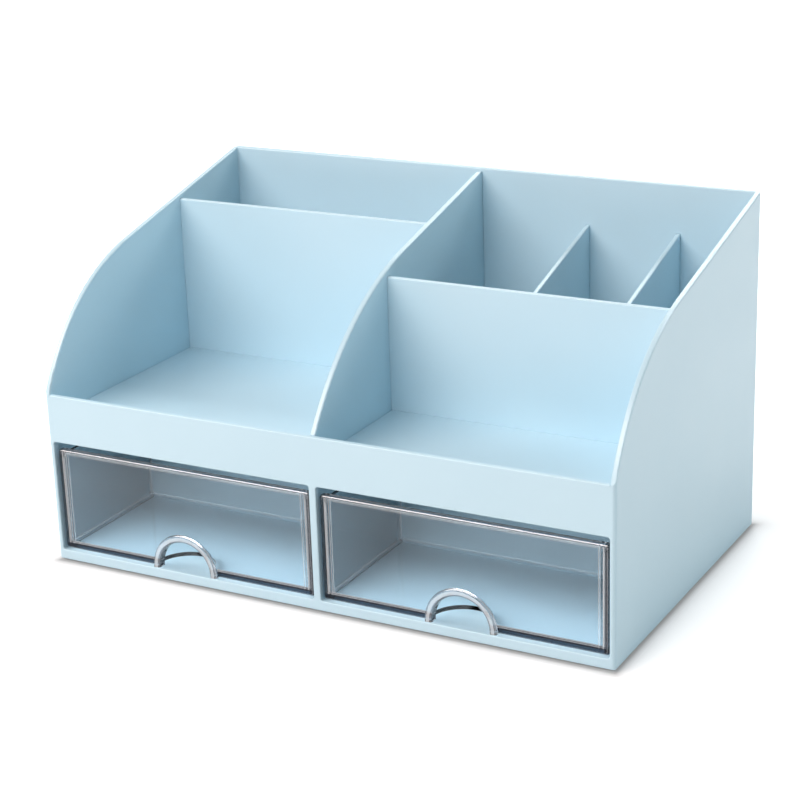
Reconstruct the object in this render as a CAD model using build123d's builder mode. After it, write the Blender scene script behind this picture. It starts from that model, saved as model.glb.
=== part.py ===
"""Desktop drawer organizer: a curved open-top case with trays, pen slots and two clear drawers."""
import math
import os

from build123d import *

# Overall size in millimetres, front towards -Y, origin on the desk under the middle of the case
width = 260.0
depth = 158.0
case_height = 150.0
foot_proud = 1.0

# Walls of the case
wall = 2.4
back_corner_radius = 3.0
front_corner_radius = 1.5
inner_corner_radius = 0.8
rim_round = 0.6
foot_edge_round = 0.6

# Curved side profile: straight slope at the back, then an arc down to the lip, sized by the rise
lip_height = 75.0
rim_slope = 13.3
rim_share = 1.227

# Drawer openings in the front
rail_height = 4.4
opening_height = 49.6
mullion_width = 3.2
opening_radius = 1.2
opening_round = 0.5

# Base plate and feet
base_thick = 2.0
rabbet = 0.8
foot_diameter = 12.0
foot_pocket = 0.4
foot_gap = 0.3
foot_round = 0.4
foot_inset_x = 20.0
foot_inset_y = 18.0

# Decks over the drawer bays and the ledges that carry them
deck_height = 65.0
deck_thick = 2.4
ledge_height = 2.0
ledge_reach = 1.6

# Dividers and cross walls, placed by the distance of their front face from the case front
divider_drop = 1.2
divider_share = 1.733
divider_round = 0.5
left_cross_at = 105.5
left_cross_drop = 0.5
right_cross_at = 65.4
right_cross_drop = 2.6
pen_thick = 2.0
pen_back_drop = 21.8
pen_front_drop = 19.6
left_pen_share = 0.402
right_pen_share = 0.734

# Fits
groove = 0.8
shallow_groove = 0.6
fit_gap = 0.1
end_gap = 0.1
tolerance = 0.01

# Drawers
drawer_side_gap = 0.5
drawer_top_gap = 3.5
drawer_lift = 0.3
drawer_recess = 1.4
front_thick = 2.4
front_radius = 1.6
front_round = 1.4
tray_inset = 1.4
tray_wall = 1.6
tray_rise = 1.5
tray_floor = 1.8
tray_top_drop = 2.0
tray_back_gap = 0.6
tray_round = 0.4
tray_joint = 0.15

# Finger pull: round-topped collar in the drawer front, matching notch in the tray floor
pull_radius = 12.5
pull_rise = 0.7
collar_width = 3.4
collar_round = 1.2
notch_margin = 0.8

# Levels and planes that follow from the sizes above
front = -depth / 2
back = depth / 2
inner_x = width / 2 - wall
inner_front = front + wall
inner_back = back - wall
half_wall = wall / 2
half_pen = pen_thick / 2
corner_middle_x = width / 2 - front_corner_radius / 2
corner_middle_y = front + front_corner_radius / 2
corner_centre_x = width / 2 - front_corner_radius
corner_centre_y = front + front_corner_radius
shell_bottom = foot_proud
shell_top = shell_bottom + case_height
lip_top = shell_bottom + lip_height
base_top = shell_bottom + rail_height
base_bottom = base_top - base_thick
opening_top = base_top + opening_height
opening_middle = base_top + opening_height / 2
deck_top = shell_bottom + deck_height
deck_bottom = deck_top - deck_thick
ledge_bottom = deck_bottom - ledge_height
left_cross_front = front + left_cross_at
left_cross_back = left_cross_front + wall
right_cross_front = front + right_cross_at
right_cross_back = right_cross_front + wall
rim_radius = rim_share * (case_height - lip_height)
divider_radius = divider_share * (case_height - lip_height)
slope = math.radians(rim_slope)
rise = math.tan(slope)
divider_back_top = shell_top - divider_drop - rise * wall
opening_width = inner_x - mullion_width / 2
opening_centre = (inner_x + mullion_width / 2) / 2
drawer_width = opening_width - 2 * drawer_side_gap
drawer_bottom = base_top + drawer_lift
drawer_top = opening_top - drawer_top_gap
panel_front = front + drawer_recess
panel_back = panel_front + front_thick
panel_reach = panel_back - front
tray_front = panel_back + tray_joint
tray_back = right_cross_front - tray_back_gap
tray_half = drawer_width / 2 - tray_inset
tray_inner_half = tray_half - tray_wall
floor_bottom = drawer_bottom + tray_rise
floor_top = floor_bottom + tray_floor
tray_top = drawer_top - tray_top_drop
tongue_top = tray_top - front_radius
pull_centre = drawer_bottom + pull_rise
leg_middle = drawer_bottom + pull_rise / 2
collar_radius = pull_radius + collar_width
notch_radius = pull_radius + notch_margin
left_pen_at = half_wall + left_pen_share * (inner_x - half_wall)
right_pen_at = half_wall + right_pen_share * (inner_x - half_wall)
foot_x = width / 2 - foot_inset_x
foot_y = depth / 2 - foot_inset_y


def arc_centre(start, end, radius):
    """Centre of the arc that leaves the start point and runs into the slope through the end point."""
    centre_line = end[1] - rise * end[0] - radius / math.cos(slope)
    lift = start[1] - centre_line
    half = start[0] + rise * lift
    square = 1 + rise**2
    root = math.sqrt(half**2 - square * (start[0] ** 2 + lift**2 - radius**2))
    centre_y = (half + root) / square
    return centre_y, centre_line + rise * centre_y


def curve_height(y, start, end, radius):
    """Height of the arc and slope at one depth."""
    centre_y, centre_z = arc_centre(start, end, radius)
    if y > centre_y - radius * math.sin(slope):
        return end[1] - rise * (end[0] - y)
    return centre_z + math.sqrt(radius**2 - (y - centre_y) ** 2)


def curved_outline(start, end, bottom, radius):
    """Draw a side outline: arc up from the start point, then the straight slope to the end point."""
    centre_y, centre_z = arc_centre(start, end, radius)
    touch = (centre_y - radius * math.sin(slope), centre_z + radius * math.cos(slope))
    start_angle = math.atan2(start[1] - centre_z, start[0] - centre_y)
    middle_angle = (start_angle + math.pi / 2 + slope) / 2
    middle = (centre_y + radius * math.cos(middle_angle), centre_z + radius * math.sin(middle_angle))
    ThreePointArc(start, middle, touch)
    Line(touch, end)
    Polyline(end, (end[0], bottom), (start[0], bottom), start)


def block(x0, x1, y0, y1, z0, z1, mode=Mode.ADD):
    """Add or cut a box between two opposite corners."""
    with Locations(((x0 + x1) / 2, (y0 + y1) / 2, (z0 + z1) / 2)):
        Box(x1 - x0, y1 - y0, z1 - z0, mode=mode)


def rim_edges(part, low_y, high_y):
    """Edges round the upward faces above the lip, without the joins between those faces."""
    seen = {}
    for face in part.faces():
        if face.normal_at().Z > tolerance and face.center().Z > lip_top:
            for edge in face.edges():
                middle = edge.center()
                seen.setdefault((round(middle.X, 2), round(middle.Y, 2), round(middle.Z, 2)), []).append(edge)
    outline = [edges[0] for edges in seen.values() if len(edges) == 1]
    return [edge for edge in outline if low_y + tolerance < edge.center().Y < high_y - tolerance]


# Tops of the upright panels, measured down from the centre divider's edge and the case top
divider_start = (inner_front, lip_top)
divider_end = (inner_back, divider_back_top)
left_edge = curve_height(left_cross_front, divider_start, divider_end, divider_radius)
left_cross_top = left_edge - left_cross_drop
right_edge = curve_height(right_cross_front, divider_start, divider_end, divider_radius)
right_cross_top = right_edge - right_cross_drop
pen_back_top = shell_top - pen_back_drop
pen_front_top = right_cross_top - pen_front_drop

# Front of the case: a plate between the side walls, with a rounded lip and two drawer openings
with BuildPart() as front_plate:
    with BuildSketch(Plane.YZ.offset(-inner_x)) as lip:
        with Locations((front + half_wall, (shell_bottom + lip_top) / 2)):
            Rectangle(wall, lip_height)
        fillet(lip.vertices().group_by(Axis.Y)[-1], radius=rim_round)
        fillet(lip.vertices().group_by(Axis.Y)[0].group_by(Axis.X)[0], radius=foot_edge_round)
    extrude(amount=2 * inner_x)
    with BuildSketch(Plane.XZ.offset(-front)):
        with Locations((-opening_centre, opening_middle), (opening_centre, opening_middle)):
            RectangleRounded(opening_width, opening_height, opening_radius)
    extrude(amount=-wall, mode=Mode.SUBTRACT)

# Case shell: side walls, back and front in one moulding, open above and below
with BuildPart() as case_shell:
    with BuildSketch(Plane.XY.offset(shell_bottom)) as plan:
        Rectangle(width, depth)
        fillet(plan.vertices().group_by(Axis.Y)[-1], radius=back_corner_radius)
    extrude(amount=case_height)
    with BuildSketch(Plane.YZ.offset(-width / 2)):
        with BuildLine():
            curved_outline((front, lip_top), (back, shell_top), shell_bottom, rim_radius)
        make_face()
    extrude(amount=width, mode=Mode.INTERSECT)
    with BuildSketch(Plane.XY.offset(shell_bottom)) as hollow:
        with Locations((0, -wall)):
            Rectangle(2 * inner_x, depth)
        fillet(hollow.vertices().group_by(Axis.Y)[-1], radius=inner_corner_radius)
    extrude(amount=case_height, mode=Mode.SUBTRACT)
    fillet(rim_edges(case_shell.part, front, back + wall), radius=rim_round)

    # Rounded front corners
    with BuildSketch(Plane.XY.offset(shell_bottom)):
        with Locations((-corner_middle_x, corner_middle_y), (corner_middle_x, corner_middle_y)):
            Rectangle(front_corner_radius, front_corner_radius)
        with Locations((-corner_centre_x, corner_centre_y), (corner_centre_x, corner_centre_y)):
            Circle(front_corner_radius, mode=Mode.SUBTRACT)
    extrude(amount=case_height, mode=Mode.SUBTRACT)

    # Rounded foot, then the front between the side walls
    foot_edges = case_shell.edges().group_by(Axis.Z)[0]
    outer_edges = [e for e in foot_edges if abs(e.center().X) > inner_x + tolerance]
    outer_edges += [e for e in foot_edges if e.center().Y > back - tolerance]
    fillet(outer_edges, radius=foot_edge_round)
    add(front_plate.part)

    # Softened edges of the two openings
    frame_edges = case_shell.edges().filter_by_position(Axis.Y, front, front)
    frame_edges = frame_edges.filter_by_position(Axis.Z, base_top, opening_top)
    frame_edges = frame_edges.filter_by_position(Axis.X, -inner_x, inner_x)
    fillet(frame_edges, radius=opening_round)

    # Rabbet for the base plate
    block(-inner_x - rabbet, inner_x + rabbet, inner_front - rabbet, inner_back + rabbet,
          shell_bottom, base_top, mode=Mode.SUBTRACT)

    # Upright grooves for the cross walls, the bay wall, the centre divider and the pen dividers
    block(-inner_x - groove, -inner_x, left_cross_front - fit_gap, left_cross_back + fit_gap,
          base_top, left_cross_top + end_gap, mode=Mode.SUBTRACT)
    block(-inner_x - groove, -inner_x, right_cross_front - fit_gap, right_cross_back + fit_gap,
          base_top, ledge_bottom, mode=Mode.SUBTRACT)
    block(inner_x, inner_x + groove, right_cross_front - fit_gap, right_cross_back + fit_gap,
          base_top, right_cross_top + end_gap, mode=Mode.SUBTRACT)
    block(-half_wall - fit_gap, half_wall + fit_gap, inner_back, inner_back + groove,
          base_top, divider_back_top - divider_round + end_gap, mode=Mode.SUBTRACT)
    for pen_at in (left_pen_at, right_pen_at):
        block(pen_at - half_pen - fit_gap, pen_at + half_pen + fit_gap, inner_back, inner_back + groove,
              base_top, pen_back_top + end_gap, mode=Mode.SUBTRACT)

    # Ledges under the decks
    block(-inner_x, -half_wall - fit_gap, inner_front, inner_front + ledge_reach, ledge_bottom, deck_bottom)
    block(half_wall + fit_gap, inner_x, inner_front, inner_front + ledge_reach, ledge_bottom, deck_bottom)
    block(-inner_x, -inner_x + ledge_reach, inner_front, left_cross_front - fit_gap,
          ledge_bottom, deck_bottom)
    block(inner_x - ledge_reach, inner_x, inner_front, right_cross_front - fit_gap,
          ledge_bottom, deck_bottom)

# Base plate: closes the case from below and is the floor of the bays and pen slots
with BuildPart() as base_plate:
    block(-inner_x - rabbet + fit_gap, inner_x + rabbet - fit_gap, inner_front - rabbet + fit_gap,
          inner_back + rabbet - fit_gap, base_bottom, base_top)
    with BuildSketch(Plane.XY.offset(base_bottom)):
        with GridLocations(2 * foot_x, 2 * foot_y, 2, 2):
            Circle(foot_diameter / 2 + foot_gap)
    extrude(amount=foot_pocket, mode=Mode.SUBTRACT)

# Centre divider: parts the two bays below and the left and right compartments above
with BuildPart() as centre_divider:
    with BuildSketch(Plane.YZ.offset(-half_wall)):
        with BuildLine():
            curved_outline(divider_start, divider_end, base_top, divider_radius)
        make_face()
    extrude(amount=wall)
    fillet(rim_edges(centre_divider.part, inner_front, inner_back), radius=divider_round)
    block(-half_wall, half_wall, inner_back, inner_back + groove - end_gap,
          base_top, divider_back_top - divider_round)

    # Grooves for the cross walls and the bay wall
    block(-half_wall, -half_wall + shallow_groove, left_cross_front - fit_gap, left_cross_back + fit_gap,
          base_top, left_cross_top + end_gap, mode=Mode.SUBTRACT)
    block(-half_wall, -half_wall + shallow_groove, right_cross_front - fit_gap, right_cross_back + fit_gap,
          base_top, ledge_bottom, mode=Mode.SUBTRACT)
    block(half_wall - shallow_groove, half_wall, right_cross_front - fit_gap, right_cross_back + fit_gap,
          base_top, right_cross_top + end_gap, mode=Mode.SUBTRACT)

    # Ledges under the inner edges of the decks
    ledge_start = inner_front + ledge_reach + fit_gap
    block(-half_wall - ledge_reach, -half_wall, ledge_start, left_cross_front - fit_gap,
          ledge_bottom, deck_bottom)
    block(half_wall, half_wall + ledge_reach, ledge_start, right_cross_front - fit_gap,
          ledge_bottom, deck_bottom)

# Left cross wall: behind the deep front tray
with BuildPart() as left_cross_wall:
    block(-inner_x, -half_wall, left_cross_front, left_cross_back, base_top, left_cross_top)
    fillet(left_cross_wall.edges().group_by(Axis.Z)[-1].filter_by(Axis.X), radius=divider_round)
    block(-inner_x - groove + end_gap, -inner_x, left_cross_front, left_cross_back,
          base_top, left_cross_top - divider_round)
    block(-half_wall, -half_wall + shallow_groove - end_gap, left_cross_front, left_cross_back,
          base_top, left_cross_top - divider_round)
    block(-inner_x + ledge_reach + fit_gap, -half_wall - ledge_reach - fit_gap,
          left_cross_front - ledge_reach, left_cross_front, ledge_bottom, deck_bottom)

# Right cross wall: between the shallow front tray and the pen slots, and the back of the right bay
with BuildPart() as right_cross_wall:
    block(half_wall, inner_x, right_cross_front, right_cross_back, base_top, right_cross_top)
    fillet(right_cross_wall.edges().group_by(Axis.Z)[-1].filter_by(Axis.X), radius=divider_round)
    block(inner_x, inner_x + groove - end_gap, right_cross_front, right_cross_back,
          base_top, right_cross_top - divider_round)
    block(half_wall - shallow_groove + end_gap, half_wall, right_cross_front, right_cross_back,
          base_top, right_cross_top - divider_round)
    block(half_wall + ledge_reach + fit_gap, inner_x - ledge_reach - fit_gap,
          right_cross_front - ledge_reach, right_cross_front, ledge_bottom, deck_bottom)
    for pen_at in (left_pen_at, right_pen_at):
        block(pen_at - half_pen - fit_gap, pen_at + half_pen + fit_gap,
              right_cross_back - shallow_groove, right_cross_back,
              base_top, pen_front_top + end_gap, mode=Mode.SUBTRACT)

# Left bay wall: the back of the left drawer bay, under the deck
with BuildPart() as left_bay_wall:
    block(-inner_x - groove + end_gap, -half_wall + shallow_groove - end_gap,
          right_cross_front, right_cross_back, base_top, ledge_bottom)

# Decks: floors of the two front trays
with BuildPart() as left_deck:
    block(-inner_x + fit_gap, -half_wall - fit_gap, inner_front + fit_gap, left_cross_front - fit_gap,
          deck_bottom, deck_top)
with BuildPart() as right_deck:
    block(half_wall + fit_gap, inner_x - fit_gap, inner_front + fit_gap, right_cross_front - fit_gap,
          deck_bottom, deck_top)


def pen_divider(pen_at):
    """Sloping divider between two pen slots, seated in the back wall and the right cross wall."""
    front_edge = right_cross_back - shallow_groove + end_gap
    back_edge = inner_back + groove - end_gap
    with BuildPart() as panel:
        with BuildSketch(Plane.YZ.offset(pen_at - half_pen)):
            with BuildLine():
                Polyline((front_edge, base_top), (back_edge, base_top), (back_edge, pen_back_top),
                         (inner_back, pen_back_top), (right_cross_back, pen_front_top),
                         (front_edge, pen_front_top), close=True)
            make_face()
        extrude(amount=pen_thick)
        tops = panel.faces().filter_by(lambda f: f.normal_at().Z > tolerance and f.normal_at().Y < -tolerance)
        fillet([e for e in tops[0].edges() if abs(e.center().X - pen_at) > tolerance], radius=divider_round)
    return panel.part


def drawer_tray(centre):
    """Clear drawer tray: raised floor with a finger notch, two sides as runners and a back wall."""
    with BuildPart() as tray:
        block(centre - tray_half, centre + tray_half, tray_front, tray_back, drawer_bottom, tray_top)
        fillet(tray.edges().group_by(Axis.Y)[-1].filter_by(Axis.Z), radius=front_radius)
        block(centre - tray_inner_half, centre + tray_inner_half, tray_front, tray_back - tray_wall,
              floor_top, tray_top, mode=Mode.SUBTRACT)
        block(centre - tray_inner_half, centre + tray_inner_half, tray_front, tray_back,
              drawer_bottom, floor_bottom, mode=Mode.SUBTRACT)
        fillet(tray.edges().group_by(Axis.Z)[-1], radius=tray_round)
        with BuildSketch(Plane.XY.offset(floor_bottom)):
            with Locations((centre, panel_front)):
                Circle(notch_radius)
        extrude(amount=tray_floor, mode=Mode.SUBTRACT)
        for side in (-1, 1):
            edge = centre + side * (tray_half - tray_wall / 2)
            block(edge - tray_wall / 2, edge + tray_wall / 2, panel_back - groove + end_gap, tray_front,
                  floor_top, tongue_top)
    return tray.part


def drawer_front(centre):
    """Clear front of a drawer: plate with rounded edges and a half-round finger pull with a raised collar."""
    with BuildPart() as panel:
        with BuildSketch(Plane.XZ.offset(-panel_front)):
            with Locations((centre, (drawer_bottom + drawer_top) / 2)):
                RectangleRounded(drawer_width, drawer_top - drawer_bottom, front_radius)
        extrude(amount=-front_thick)
        fillet(panel.edges().group_by(Axis.Y)[0], radius=front_round)

        # Collar and finger arch, each a half circle on short legs
        with BuildSketch(Plane.XZ.offset(-front)):
            with Locations((centre, pull_centre)):
                Circle(collar_radius)
            with Locations((centre, leg_middle)):
                Rectangle(2 * collar_radius, pull_rise)
            with Locations((centre, drawer_bottom - collar_radius)):
                Rectangle(drawer_width, 2 * collar_radius, mode=Mode.SUBTRACT)
        extrude(amount=-panel_reach)
        with BuildSketch(Plane.XZ.offset(-front)):
            with Locations((centre, pull_centre)):
                Circle(pull_radius)
            with Locations((centre, leg_middle)):
                Rectangle(2 * pull_radius, pull_rise)
        extrude(amount=-panel_reach, mode=Mode.SUBTRACT)
        fillet(panel.edges().group_by(Axis.Y)[0].filter_by(GeomType.CIRCLE), radius=collar_round)

        # Grooves for the front ends of the tray sides
        for side in (-1, 1):
            edge = centre + side * (tray_half - tray_wall / 2)
            block(edge - tray_wall / 2 - fit_gap, edge + tray_wall / 2 + fit_gap,
                  panel_back - groove, panel_back, floor_top - end_gap, tongue_top + end_gap,
                  mode=Mode.SUBTRACT)
    return panel.part


def foot(x, y):
    """Soft round foot set in a pocket under the base plate."""
    with BuildPart() as pad:
        with BuildSketch(Plane.XY):
            with Locations((x, y)):
                Circle(foot_diameter / 2)
        extrude(amount=base_bottom + foot_pocket)
        fillet(pad.edges().group_by(Axis.Z)[0], radius=foot_round)
    return pad.part


pieces = {
    "case_shell": case_shell.part,
    "base_plate": base_plate.part,
    "centre_divider": centre_divider.part,
    "left_cross_wall": left_cross_wall.part,
    "right_cross_wall": right_cross_wall.part,
    "left_bay_wall": left_bay_wall.part,
    "left_deck": left_deck.part,
    "right_deck": right_deck.part,
    "left_pen_divider": pen_divider(left_pen_at),
    "right_pen_divider": pen_divider(right_pen_at),
    "left_drawer_tray": drawer_tray(-opening_centre),
    "left_drawer_front": drawer_front(-opening_centre),
    "right_drawer_tray": drawer_tray(opening_centre),
    "right_drawer_front": drawer_front(opening_centre),
    "foot_front_left": foot(-foot_x, -foot_y),
    "foot_front_right": foot(foot_x, -foot_y),
    "foot_back_left": foot(-foot_x, foot_y),
    "foot_back_right": foot(foot_x, foot_y),
}

os.makedirs("parts", exist_ok=True)
for name, piece in pieces.items():
    piece.label = name
    export_step(piece, f"parts/{name}.step")
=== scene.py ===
"""Looks of the desktop drawer organizer: satin pale blue plastic, clear drawers, soft studio light."""
import math

import bpy
from mathutils import Matrix, Vector


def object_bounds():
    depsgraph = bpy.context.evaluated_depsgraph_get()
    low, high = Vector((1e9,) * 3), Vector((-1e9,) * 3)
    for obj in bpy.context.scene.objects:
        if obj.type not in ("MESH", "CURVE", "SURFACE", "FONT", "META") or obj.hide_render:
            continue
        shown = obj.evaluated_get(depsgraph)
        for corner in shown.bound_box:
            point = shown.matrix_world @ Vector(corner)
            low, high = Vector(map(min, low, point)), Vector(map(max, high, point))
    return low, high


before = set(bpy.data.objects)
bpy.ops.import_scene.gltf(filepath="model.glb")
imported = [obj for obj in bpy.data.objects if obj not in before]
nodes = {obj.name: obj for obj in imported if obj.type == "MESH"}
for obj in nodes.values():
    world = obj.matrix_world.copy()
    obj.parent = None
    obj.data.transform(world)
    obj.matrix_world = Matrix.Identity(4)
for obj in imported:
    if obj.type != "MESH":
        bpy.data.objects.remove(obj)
cad_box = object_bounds()
scene = bpy.context.scene

CASE = [
    "case_shell", "base_plate", "centre_divider", "left_cross_wall", "right_cross_wall", "left_bay_wall",
    "left_deck", "right_deck", "left_pen_divider", "right_pen_divider",
]
TRAYS = ["left_drawer_tray", "right_drawer_tray"]
FRONTS = ["left_drawer_front", "right_drawer_front"]
FEET = ["foot_front_left", "foot_front_right", "foot_back_left", "foot_back_right"]


def piece_box(name):
    """Lowest and highest corner of a CAD node, in its own frame."""
    sides = list(zip(*nodes[name].bound_box))
    return Vector([min(side) for side in sides]), Vector([max(side) for side in sides])


# Thicknesses and clearances of a drawer, in metres, as the part has them
FRONT_THICK = 0.0024
TRAY_WALL = 0.0016
TRAY_RISE = 0.0015
TRAY_FLOOR_THICK = 0.0018
TRAY_JOINT = 0.00015

# Places on the right drawer, which the left one mirrors
plate_low, plate_high = piece_box("right_drawer_front")
tray_low, tray_high = piece_box("right_drawer_tray")
DRAWER_MIDDLE = (plate_low.x + plate_high.x) / 2
PLATE_HALF = (plate_high.x - plate_low.x) / 2
PLATE_FRONT = plate_high.y - FRONT_THICK
PLATE_BOTTOM = plate_low.z
PLATE_TOP = plate_high.z
TRAY_FRONT = plate_high.y + TRAY_JOINT
TRAY_BACK_INSIDE = tray_high.y - TRAY_WALL
TRAY_HALF_INSIDE = (tray_high.x - tray_low.x) / 2 - TRAY_WALL
TRAY_FLOOR = tray_low.z + TRAY_RISE + TRAY_FLOOR_THICK

# Ends of a level that rises over its whole range, or falls
FULL = (0.0, 1.0)
FALLING = (1.0, 0.0)

# Painted shade and painted light lines along the border of a drawer's front: pairs of the distance from its
# edge in mm and the level there
MM = 0.001
BORDER_MM = 6.0
BORDER = BORDER_MM * MM
# Painted shade: a dark band along each side, then a narrower dark line inside it
SIDE_PAINTED_SHADE = ((0.0, 0.8), (2.2, 0.8), (2.35, 0.0), (3.1, 0.0), (3.2, 0.6), (3.8, 0.6), (3.9, 0.0))
# Painted shade: a dark strip just above the bottom edge
BOTTOM_PAINTED_SHADE = ((0.0, 0.0), (0.45, 0.0), (0.55, 1.0), (2.8, 1.0), (2.95, 0.0))
# Painted light lines, drawn as frosted plastic, inside the dark side band
SIDE_PAINTED_LINES = (
    (0.0, 0.0), (2.2, 0.0), (2.3, 0.35), (2.7, 0.35), (2.85, 0.0),
    (4.2, 0.0), (4.3, 0.3), (4.6, 0.3), (4.75, 0.0),
)
# Painted light line, drawn as frosted plastic, just under the top edge
TOP_PAINTED_LINE = ((0.0, 0.0), (0.8, 0.0), (1.0, 0.2), (2.1, 0.2), (2.3, 0.0))
# Painted light: a white bar, drawn as frosted plastic, on the bottom edge and a thin line higher up
BOTTOM_PAINTED_LINES = (
    (0.0, 0.0), (0.1, 0.0), (0.15, 0.9), (0.4, 0.9), (0.5, 0.0),
    (3.05, 0.0), (3.15, 0.45), (3.3, 0.45), (3.4, 0.0),
)

# Spans of one part of a surface's direction, or of its largest part, over which a level changes
FRONTWARD = (-0.05, -0.25)
FLAT_FRONT = (-0.95, -0.99)
END_FRONT = (-0.8, -0.9)
NOT_DOWN = (-0.5, -0.2)
SIDEWAYS = (0.3, 0.6)
OFF_AXES = (0.995, 0.97)

# Spans of the place along Y, in metres: from pull to plate, near the plate's back, at a tray's front
PULL_MARGIN = 0.0004
BACK_DEPTHS = (0.0018, 0.0020)
END_DEPTHS = (0.0004, 0.0002)
ONTO_PLATE = (PLATE_FRONT - PULL_MARGIN, PLATE_FRONT)
PLATE_BACK = [PLATE_FRONT + depth for depth in BACK_DEPTHS]
TRAY_ENDS = [TRAY_FRONT + depth for depth in END_DEPTHS]

# Faint pale haze all over a drawer's front
VEIL = (0.017, 0.023)

# Painted shade on the finger pull's rounded edges and a painted highlight, drawn as frosted plastic, on its
# flat face
PULL_PAINTED_SHADE = 0.92
PULL_PAINTED_HIGHLIGHT = 0.45

# Painted light lines, drawn as frosted plastic, along the inner corners of a tray, on the ends of its walls
# and faintly on its rounded edges
CORNER_PAINTED_LINE = 0.25
CORNER_HALF = 0.0005
CORNER_SHIFT = 0.0003
END_PAINTED_LINE = 0.35
TURNED_PAINTED_LIGHT = 0.10

# Colours, in linear light
CASE_PALE = (0.577, 0.785, 0.885, 1.0)
CASE_DEEP = (0.553, 0.765, 0.870, 1.0)
CLEAR_SKIN = (0.955, 0.98, 0.995, 1.0)
# Painted shade for the rims and border bands of a drawer's front
CLEAR_PAINTED_SHADE = (0.08, 0.10, 0.13, 1.0)
CLEAR_SHINE = (0.14, 0.14, 0.14, 1.0)
CLEAR_BODY = (0.05, 0.45, 0.70, 1.0)
CLEAR_TO_LAMPS = (0.97, 0.97, 0.97, 1.0)
EDGE_TO_LAMPS = (0.08, 0.09, 0.10, 1.0)
RUBBER_PALE = (0.60, 0.63, 0.65, 1.0)
RUBBER_DEEP = (0.50, 0.53, 0.55, 1.0)
BLACK = (0.0, 0.0, 0.0, 1.0)
WHITE = (1.0, 1.0, 1.0, 1.0)
SKY = (0.88, 0.96, 1.0, 1.0)
FLOOR_PAINT = (0.80, 0.80, 0.80, 1.0)

# Noise patterns, each with its scale, detail and roughness, and the spans of them that are used
FLOW_NOISE = (14.0, 3.0, 0.55)
HAZE_NOISE = (60.0, 4.0, 0.6)
GRAIN_NOISE = (2600.0, 2.0, 0.5)
CLEAR_NOISE = (40.0, 4.0, 0.6)
SPECK_NOISE = (900.0, 3.0, 0.6)
MIDDLE_SPAN = (0.3, 0.7)
CLEAR_SPAN = (0.4, 0.8)
SPECK_SPAN = (0.35, 0.65)

# Gloss of the case, the clear plastic and the rubber, with roughness as a pair where it varies
CASE_SPECULAR = 0.65
CASE_IOR = 1.5
CASE_ROUGHNESS = (0.28, 0.40)
GRAIN_STRENGTH = 0.06
GRAIN_DEPTH = 0.0002
CLEAR_IOR = 1.49
CLEAR_ROUGHNESS = (0.01, 0.04)
CLEAR_DENSITY = 25.0
GLEAM_IOR = 2.1
GLEAM_ROUGHNESS = 0.03
RUBBER_SPECULAR = 0.3
RUBBER_ROUGHNESS = 0.75
SPECK_STRENGTH = 0.2
SPECK_DEPTH = 0.0003


def new_material(name):
    """A material with an empty node tree and its output node."""
    mat = bpy.data.materials.new(name)
    mat.use_nodes = True
    tree = mat.node_tree
    tree.nodes.clear()
    out = tree.nodes.new("ShaderNodeOutputMaterial")
    return mat, tree, out


def add_node(tree, kind, **values):
    """A node of one kind with some of its inputs or settings given."""
    node = tree.nodes.new(kind)
    for key, value in values.items():
        if key in node.inputs:
            node.inputs[key].default_value = value
        else:
            setattr(node, key, value)
    return node


def add_noise(tree, scale, detail, roughness):
    """A noise pattern fixed to the piece."""
    coord = add_node(tree, "ShaderNodeTexCoord")
    noise = add_node(tree, "ShaderNodeTexNoise", Scale=scale, Detail=detail, Roughness=roughness)
    tree.links.new(coord.outputs["Object"], noise.inputs["Vector"])
    return noise.outputs["Fac"]


def add_ramp(tree, source, span, colours):
    """A colour that goes from one to another as a number crosses a span."""
    ramp = add_node(tree, "ShaderNodeValToRGB")
    for stop, position, colour in zip(ramp.color_ramp.elements, span, colours):
        stop.position = position
        stop.color = colour
    tree.links.new(source, ramp.inputs["Fac"])
    return ramp.outputs["Color"]


def add_range(tree, source, span, levels=FULL):
    """A level that goes from one end to the other as a number crosses a span."""
    ranged = add_node(tree, "ShaderNodeMapRange")
    for name, value in zip(("From Min", "From Max", "To Min", "To Max"), (*span, *levels)):
        ranged.inputs[name].default_value = value
    tree.links.new(source, ranged.inputs["Value"])
    return ranged.outputs["Result"]


def add_steps(tree, source, levels):
    """A level that changes along a border, given as pairs of the distance in mm and the level there."""
    ramp = add_node(tree, "ShaderNodeValToRGB")
    stops = ramp.color_ramp.elements
    stops.remove(stops[1])
    for number, (distance, level) in enumerate(levels):
        stop = stops[0] if number == 0 else stops.new(distance / BORDER_MM)
        stop.position = distance / BORDER_MM
        stop.color = (level, level, level, 1.0)
    tree.links.new(source, ramp.inputs["Fac"])
    return ramp.outputs["Color"]


def add_bump(tree, source, strength, distance):
    """A surface normal that follows a pattern."""
    bump = add_node(tree, "ShaderNodeBump", Strength=strength, Distance=distance)
    tree.links.new(source, bump.inputs["Height"])
    return bump.outputs["Normal"]


def add_size(tree, source):
    """A number without its sign."""
    size = add_node(tree, "ShaderNodeMath", operation="ABSOLUTE")
    tree.links.new(source, size.inputs[0])
    return size.outputs[0]


def add_product(tree, first, *others):
    """Some numbers multiplied."""
    for other in others:
        product = add_node(tree, "ShaderNodeMath", operation="MULTIPLY")
        tree.links.new(first, product.inputs[0])
        tree.links.new(other, product.inputs[1])
        first = product.outputs[0]
    return first


def add_most(tree, first, *others):
    """The largest of some numbers."""
    for other in others:
        most = add_node(tree, "ShaderNodeMath", operation="MAXIMUM")
        tree.links.new(first, most.inputs[0])
        tree.links.new(other, most.inputs[1])
        first = most.outputs[0]
    return first


def add_near(tree, source, place):
    """1 where a number lies close to a place, 0 elsewhere."""
    near = add_node(tree, "ShaderNodeMath", operation="COMPARE")
    near.inputs[1].default_value = place
    near.inputs[2].default_value = CORNER_HALF
    tree.links.new(source, near.inputs[0])
    return near.outputs[0]


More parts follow.
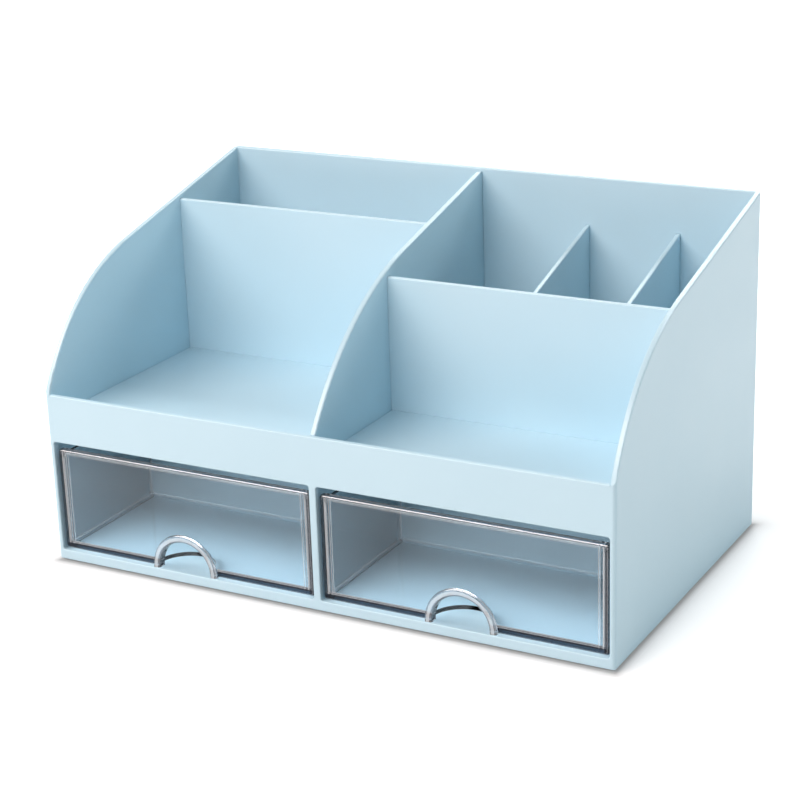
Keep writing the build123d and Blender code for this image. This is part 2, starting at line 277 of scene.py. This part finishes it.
def add_sight(tree):
    """1 for rays that show the surroundings: to the camera, in a gloss or through clear plastic."""
    path = add_node(tree, "ShaderNodeLightPath")
    kinds = ("Is Camera Ray", "Is Glossy Ray", "Is Transmission Ray")
    return add_most(tree, *(path.outputs[kind] for kind in kinds))


def add_place(tree, coord):
    """Distance from a drawer's middle plane and place along Y and Z, fixed to the piece."""
    place = add_node(tree, "ShaderNodeSeparateXYZ")
    tree.links.new(coord.outputs["Object"], place.inputs["Vector"])
    offset = add_node(tree, "ShaderNodeMath", operation="SUBTRACT")
    offset.inputs[1].default_value = DRAWER_MIDDLE
    tree.links.new(add_size(tree, place.outputs["X"]), offset.inputs[0])
    return add_size(tree, offset.outputs[0]), place.outputs["Y"], place.outputs["Z"]


def add_facing(tree, coord):
    """The three parts of the surface's direction, fixed to the piece."""
    facing = add_node(tree, "ShaderNodeSeparateXYZ")
    tree.links.new(coord.outputs["Normal"], facing.inputs["Vector"])
    return facing.outputs["X"], facing.outputs["Y"], facing.outputs["Z"]


def add_turned(tree, coord):
    """1 on faces that lie square to no axis, such as rounded edges and the finger pull."""
    sizes = [add_size(tree, part) for part in add_facing(tree, coord)]
    return add_range(tree, add_most(tree, *sizes), OFF_AXES)


def front_edges(tree, coord, bsdf):
    """Edges of a drawer's front: painted shade on its rims and the pull's rounded edges, painted light lines
    inside the rims, gleaming top, and a painted highlight on the pull's flat face, the light drawn as
    frosted plastic.
    """
    aside, depth, height = add_place(tree, coord)
    face_x, face_y, face_z = add_facing(tree, coord)
    on_plate = add_range(tree, depth, ONTO_PLATE)
    not_flat = add_range(tree, face_y, FLAT_FRONT, FALLING)
    round_edges = add_product(tree, add_range(tree, face_y, FRONTWARD), not_flat)
    from_side = add_range(tree, aside, (PLATE_HALF, PLATE_HALF - BORDER))
    from_top = add_range(tree, height, (PLATE_TOP, PLATE_TOP - BORDER))
    from_bottom = add_range(tree, height, (PLATE_BOTTOM, PLATE_BOTTOM + BORDER))

    # Painted shade: dark rounded rims, dark bands along the sides and the bottom, dark rounded edges on the
    # pull
    rim = add_product(tree, on_plate, add_range(tree, face_z, NOT_DOWN), round_edges)
    low_painted_shade = add_product(tree, on_plate, add_steps(tree, from_bottom, BOTTOM_PAINTED_SHADE))
    pull_painted_shade = add_product(tree, add_range(tree, on_plate, FULL, (PULL_PAINTED_SHADE, 0.0)), round_edges)
    painted_shade = add_most(tree, rim, add_steps(tree, from_side, SIDE_PAINTED_SHADE), low_painted_shade, pull_painted_shade)
    skin = add_ramp(tree, painted_shade, FULL, (CLEAR_SKIN, CLEAR_PAINTED_SHADE))
    tree.links.new(skin, bsdf.inputs["Base Color"])

    # Painted light lines and a painted highlight on the pull, drawn as frosted plastic, with a faint real
    # haze over the whole front
    in_front = add_range(tree, depth, PLATE_BACK, FALLING)
    low_painted_lines = add_product(tree, on_plate, in_front, add_steps(tree, from_bottom, BOTTOM_PAINTED_LINES))
    flat = add_range(tree, not_flat, FULL, FALLING)
    pull_painted_highlight = add_product(tree, add_range(tree, on_plate, FULL, (PULL_PAINTED_HIGHLIGHT, 0.0)), flat)
    veil = add_range(tree, add_noise(tree, *CLEAR_NOISE), MIDDLE_SPAN, VEIL)
    frosting_with_painted_lines = add_most(tree, add_steps(tree, from_side, SIDE_PAINTED_LINES), add_steps(tree, from_top, TOP_PAINTED_LINE),
                     low_painted_lines, pull_painted_highlight, veil)
    tree.links.new(add_range(tree, frosting_with_painted_lines, FULL, FALLING), bsdf.inputs["Transmission Weight"])

    upright = add_product(tree, on_plate, add_range(tree, add_size(tree, face_x), SIDEWAYS))
    gleam = add_product(tree, add_range(tree, upright, FULL, FALLING), round_edges)
    tree.links.new(gleam, bsdf.inputs["Coat Weight"])


def tray_edges(tree, coord, bsdf):
    """Edges of a drawer's tray: painted light lines, drawn as frosted plastic, along its inner corners and
    on the ends of walls and floor.
    """
    aside, depth, height = add_place(tree, coord)
    face_y = add_facing(tree, coord)[1]
    by_side = add_near(tree, aside, TRAY_HALF_INSIDE - CORNER_SHIFT)
    by_back = add_near(tree, depth, TRAY_BACK_INSIDE - CORNER_SHIFT)
    by_floor = add_near(tree, height, TRAY_FLOOR + CORNER_SHIFT)
    corner = add_most(tree, add_product(tree, by_side, by_back), add_product(tree, by_side, by_floor),
                      add_product(tree, by_back, by_floor))
    at_end = add_product(tree, add_range(tree, face_y, END_FRONT), add_range(tree, depth, TRAY_ENDS))
    # Painted light lines: frosted plastic at inner corners, wall ends and rounded edges
    frosting_with_painted_lines = add_most(tree, add_range(tree, corner, FULL, (0.0, CORNER_PAINTED_LINE)),
                     add_range(tree, at_end, FULL, (0.0, END_PAINTED_LINE)),
                     add_range(tree, add_turned(tree, coord), FULL, (0.0, TURNED_PAINTED_LIGHT)))
    bsdf.inputs["Base Color"].default_value = CLEAR_SKIN
    tree.links.new(add_range(tree, frosting_with_painted_lines, FULL, FALLING), bsdf.inputs["Transmission Weight"])


def case_plastic():
    """Moulded satin plastic: faint flow mottling, fine surface grain, soft gloss that varies a little."""
    mat, tree, out = new_material("case_plastic_satin")
    bsdf = add_node(tree, "ShaderNodeBsdfPrincipled", IOR=CASE_IOR)
    bsdf.inputs["Specular IOR Level"].default_value = CASE_SPECULAR
    flow = add_noise(tree, *FLOW_NOISE)
    haze = add_noise(tree, *HAZE_NOISE)
    grain = add_noise(tree, *GRAIN_NOISE)
    tree.links.new(add_ramp(tree, flow, MIDDLE_SPAN, (CASE_DEEP, CASE_PALE)), bsdf.inputs["Base Color"])
    tree.links.new(add_range(tree, haze, FULL, CASE_ROUGHNESS), bsdf.inputs["Roughness"])
    tree.links.new(add_bump(tree, grain, GRAIN_STRENGTH, GRAIN_DEPTH), bsdf.inputs["Normal"])
    tree.links.new(bsdf.outputs["BSDF"], out.inputs["Surface"])
    return mat


def clear_plastic(name, add_edges):
    """Clear polished plastic with a faint handling haze on its skin and edges of a given look: painted light
    lines, and on a drawer's front painted shade too.
    """
    mat, tree, out = new_material(name)
    coord = add_node(tree, "ShaderNodeTexCoord")
    bsdf = add_node(tree, "ShaderNodeBsdfPrincipled", IOR=CLEAR_IOR)
    bsdf.inputs["Specular Tint"].default_value = CLEAR_SHINE
    bsdf.inputs["Coat Roughness"].default_value = GLEAM_ROUGHNESS
    bsdf.inputs["Coat IOR"].default_value = GLEAM_IOR
    haze = add_noise(tree, *CLEAR_NOISE)
    tree.links.new(add_range(tree, haze, CLEAR_SPAN, CLEAR_ROUGHNESS), bsdf.inputs["Roughness"])
    add_edges(tree, coord, bsdf)

    # Light from the lamps passes straight through, less so at turned edges
    path = add_node(tree, "ShaderNodeLightPath")
    passing = add_node(tree, "ShaderNodeBsdfTransparent")
    shade = add_ramp(tree, add_turned(tree, coord), FULL, (CLEAR_TO_LAMPS, EDGE_TO_LAMPS))
    tree.links.new(shade, passing.inputs["Color"])
    pick = add_node(tree, "ShaderNodeMixShader")
    tree.links.new(path.outputs["Is Shadow Ray"], pick.inputs["Fac"])
    tree.links.new(bsdf.outputs["BSDF"], pick.inputs[1])
    tree.links.new(passing.outputs["BSDF"], pick.inputs[2])
    tree.links.new(pick.outputs["Shader"], out.inputs["Surface"])
    body = add_node(tree, "ShaderNodeVolumeAbsorption", Color=CLEAR_BODY, Density=CLEAR_DENSITY)
    tree.links.new(body.outputs["Volume"], out.inputs["Volume"])
    return mat


def foot_rubber():
    """Soft grey rubber with a dull speckled skin."""
    mat, tree, out = new_material("foot_soft_rubber")
    bsdf = add_node(tree, "ShaderNodeBsdfPrincipled", Roughness=RUBBER_ROUGHNESS)
    bsdf.inputs["Specular IOR Level"].default_value = RUBBER_SPECULAR
    speck = add_noise(tree, *SPECK_NOISE)
    tree.links.new(add_ramp(tree, speck, SPECK_SPAN, (RUBBER_DEEP, RUBBER_PALE)), bsdf.inputs["Base Color"])
    tree.links.new(add_bump(tree, speck, SPECK_STRENGTH, SPECK_DEPTH), bsdf.inputs["Normal"])
    tree.links.new(bsdf.outputs["BSDF"], out.inputs["Surface"])
    return mat


def dress(names, material):
    """Give CAD nodes a material."""
    for name in names:
        piece = nodes[name]
        piece.data.materials.clear()
        piece.data.materials.append(material)


dress(CASE, case_plastic())
dress(TRAYS, clear_plastic("drawer_tray_clear", tray_edges))
dress(FRONTS, clear_plastic("drawer_front_clear", front_edges))
dress(FEET, foot_rubber())

# Floor: white paper that keeps the object's shadow close to it, with a painted shadow where the object meets
# it, and is pure white further out
FLOOR_HALF = 3.0
GLOW = (0.44, 1.0)
GLOW_REACH = 0.09
# Painted shadow: how much the floor darkens where the object meets it, and how fast that fades
PAINTED_SHADOW_DEPTH = 0.57
PAINTED_SHADOW_REACH = 0.0030


def add_beyond(tree, half):
    """Distance outside a box about the origin, given by its half size, 0 inside it."""
    place = add_node(tree, "ShaderNodeTexCoord")
    mirrored = add_node(tree, "ShaderNodeVectorMath", operation="ABSOLUTE")
    beyond = add_node(tree, "ShaderNodeVectorMath", operation="SUBTRACT")
    beyond.inputs[1].default_value = half
    outside = add_node(tree, "ShaderNodeVectorMath", operation="MAXIMUM")
    outside.inputs[1].default_value = (0.0, 0.0, 0.0)
    distance = add_node(tree, "ShaderNodeVectorMath", operation="LENGTH")
    tree.links.new(place.outputs["Object"], mirrored.inputs[0])
    tree.links.new(mirrored.outputs["Vector"], beyond.inputs[0])
    tree.links.new(beyond.outputs["Vector"], outside.inputs[0])
    tree.links.new(outside.outputs["Vector"], distance.inputs[0])
    return distance.outputs["Value"]


def add_painted_shadow(tree, distance):
    """A painted shadow: a level that is low where the object meets the floor and soon rises to 1 away from
    it.
    """
    nearness = add_node(tree, "ShaderNodeMath", operation="DIVIDE")
    nearness.inputs[1].default_value = -PAINTED_SHADOW_REACH
    fade = add_node(tree, "ShaderNodeMath", operation="EXPONENT")
    painted_shadow = add_node(tree, "ShaderNodeMath", operation="MULTIPLY_ADD")
    painted_shadow.inputs[1].default_value = -PAINTED_SHADOW_DEPTH
    painted_shadow.inputs[2].default_value = 1.0
    tree.links.new(distance, nearness.inputs[0])
    tree.links.new(nearness.outputs[0], fade.inputs[0])
    tree.links.new(fade.outputs[0], painted_shadow.inputs[0])
    return painted_shadow.outputs[0]


def white_floor():
    """White paint with a glow that is seen but lights no piece, and grows away from the object; as seen,
    both are darkened by a painted shadow where the object meets the floor.
    """
    mat, tree, out = new_material("floor_white")
    low, high = (Vector(corner) for corner in cad_box)
    sight = add_sight(tree)
    distance = add_beyond(tree, (high - low) / 2)
    # Painted shadow where the object meets the floor, on the paint and glow that are seen
    painted_shadow = add_painted_shadow(tree, distance)
    paint_level = add_most(tree, painted_shadow, add_range(tree, sight, FULL, FALLING))
    paint = add_node(tree, "ShaderNodeBsdfDiffuse")
    tree.links.new(add_ramp(tree, paint_level, FULL, (BLACK, FLOOR_PAINT)), paint.inputs["Color"])
    glow = add_node(tree, "ShaderNodeEmission", Color=WHITE)
    glow_level = add_range(tree, distance, (0.0, GLOW_REACH), GLOW)
    tree.links.new(add_product(tree, glow_level, painted_shadow, sight), glow.inputs["Strength"])
    both = add_node(tree, "ShaderNodeAddShader")
    tree.links.new(paint.outputs["BSDF"], both.inputs[0])
    tree.links.new(glow.outputs["Emission"], both.inputs[1])
    tree.links.new(both.outputs["Shader"], out.inputs["Surface"])
    return mat


floor_mesh = bpy.data.meshes.new("floor")
floor_corners = [(x * FLOOR_HALF, y * FLOOR_HALF, 0.0) for x, y in ((-1, -1), (1, -1), (1, 1), (-1, 1))]
floor_mesh.from_pydata(floor_corners, [], [(0, 1, 2, 3)])
floor = bpy.data.objects.new("floor", floor_mesh)
scene.collection.objects.link(floor)
floor.data.materials.append(white_floor())

# World: even pale light, white where it is seen
AMBIENT = 0.08
world = bpy.data.worlds.new("studio")
scene.world = world
world.use_nodes = True
sky_tree = world.node_tree
sky_tree.nodes.clear()
sky_out = sky_tree.nodes.new("ShaderNodeOutputWorld")
ambient = add_node(sky_tree, "ShaderNodeBackground", Color=SKY, Strength=AMBIENT)
backdrop = add_node(sky_tree, "ShaderNodeBackground", Color=WHITE, Strength=1.0)
sky_pick = add_node(sky_tree, "ShaderNodeMixShader")
sky_tree.links.new(add_sight(sky_tree), sky_pick.inputs["Fac"])
sky_tree.links.new(ambient.outputs["Background"], sky_pick.inputs[1])
sky_tree.links.new(backdrop.outputs["Background"], sky_pick.inputs[2])
sky_tree.links.new(sky_pick.outputs["Shader"], sky_out.inputs["Surface"])

# Lamps: a wide soft key from the front left, a rim light from behind and a low soft fill from the right
AIM = Vector((0.0, 0.0, 0.07))
WARM_LIGHT = (1.0, 0.91, 0.88)
WHITE_LIGHT = (1.0, 1.0, 1.0)
COOL_LIGHT = (0.84, 0.97, 1.0)


def soft_box(name, azimuth, elevation, distance, size, power, colour):
    """A rectangular soft light aimed at the middle of the object, azimuth 0 in front and + to the right."""
    turn = math.radians(azimuth)
    tilt = math.radians(elevation)
    way = Vector((math.sin(turn) * math.cos(tilt), -math.cos(turn) * math.cos(tilt), math.sin(tilt)))
    data = bpy.data.lights.new(name, "AREA")
    data.shape = "RECTANGLE"
    data.size, data.size_y = size
    data.energy = power
    data.color = colour
    lamp = bpy.data.objects.new(name, data)
    scene.collection.objects.link(lamp)
    lamp.location = AIM + distance * way
    lamp.rotation_euler = (-way).to_track_quat("-Z", "Y").to_euler()


soft_box("key", azimuth=-30.0, elevation=42.0, distance=1.6, size=(2.0, 0.7), power=30.7, colour=WARM_LIGHT)
soft_box("rim", azimuth=180.0, elevation=42.0, distance=1.5, size=(1.4, 0.5), power=13.0, colour=WHITE_LIGHT)
soft_box("fill", azimuth=97.0, elevation=10.0, distance=1.3, size=(0.5, 0.3), power=3.1, colour=COOL_LIGHT)

# Camera at the photograph's angle
CAMERA_PLACE = Vector((0.39553, -0.72066, 0.35331))
CAMERA_YAW = math.radians(28.892)
CAMERA_PITCH = math.radians(19.266)
CAMERA_ROLL = math.radians(-1.953)
FOCAL_PIXELS = 2038.1
FRAME_PIXELS = 800.0
SENSOR_WIDTH = 36.0
NEAREST_SEEN = 0.01
forward = Vector((
    -math.sin(CAMERA_YAW) * math.cos(CAMERA_PITCH),
    math.cos(CAMERA_YAW) * math.cos(CAMERA_PITCH),
    -math.sin(CAMERA_PITCH),
))
level_right = Vector((math.cos(CAMERA_YAW), math.sin(CAMERA_YAW), 0.0))
level_up = level_right.cross(forward)
right = math.cos(CAMERA_ROLL) * level_right + math.sin(CAMERA_ROLL) * level_up
up = -math.sin(CAMERA_ROLL) * level_right + math.cos(CAMERA_ROLL) * level_up
camera_data = bpy.data.cameras.new("camera")
camera_data.sensor_width = SENSOR_WIDTH
camera_data.lens = SENSOR_WIDTH * FOCAL_PIXELS / FRAME_PIXELS
camera_data.clip_start = NEAREST_SEEN
camera = bpy.data.objects.new("camera", camera_data)
scene.collection.objects.link(camera)
axes = Matrix((right, up, -forward)).transposed().to_4x4()
camera.matrix_world = Matrix.Translation(CAMERA_PLACE) @ axes
scene.camera = camera

scene.view_settings.view_transform = "Standard"
